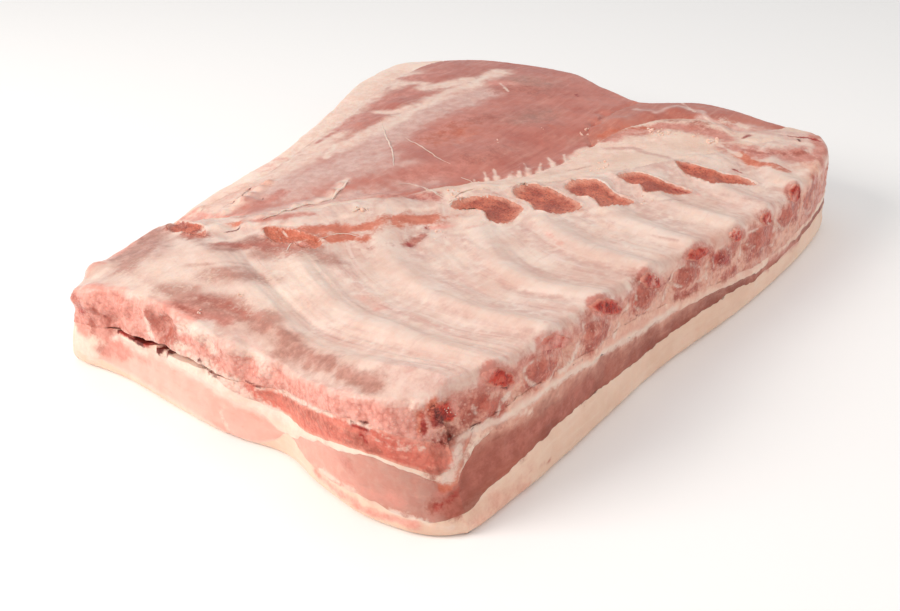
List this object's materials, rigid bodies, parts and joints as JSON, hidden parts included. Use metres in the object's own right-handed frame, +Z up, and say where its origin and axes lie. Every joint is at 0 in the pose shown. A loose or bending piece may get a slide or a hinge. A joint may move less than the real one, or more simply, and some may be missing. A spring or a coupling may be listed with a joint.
{
  "type": "rib-in pork belly",
  "caption": "Slab of raw pork belly with its ribs in, lying on its skin, inner side up, with fat and lean layers at its cut faces and ribs under a thin membrane.",
  "frame": {"origin": "middle of the slab's outline, on the plane that the skin lies on", "axes": "+Z up; +X along the rib cut from the breast end to the flank end; +Y from the rib cut to the belly edge"},
  "size_m": [0.4218, 0.3328, 0.0615],
  "materials": {
    "back_fat": "moist skin and back fat",
    "seam_fat": "moist fat",
    "outer_lean": "moist cut lean",
    "breast_lean": "moist cut lean",
    "inner_lean": "moist cut lean",
    "membrane": "wet translucent membrane over meat",
    "flap_lean": "moist muscle under thin membrane",
    "rib_bone": "cut bone with red marrow"
  },
  "bodies": {
    "root": {"back_fat": "back_fat", "outer_lean": "outer_lean", "breast_lean": "breast_lean", "inner_lean": "inner_lean", "seam_fat": "seam_fat", "rib_meat": "membrane", "arch_fat": "seam_fat", "flap_muscle": "flap_lean", "flank_roll": "flap_lean", "rib_01": "rib_bone", "rib_02": "rib_bone", "rib_03": "rib_bone", "rib_04": "rib_bone", "rib_05": "rib_bone", "rib_06": "rib_bone", "rib_07": "rib_bone", "rib_08": "rib_bone", "rib_09": "rib_bone"}
  },
  "joints": []
}
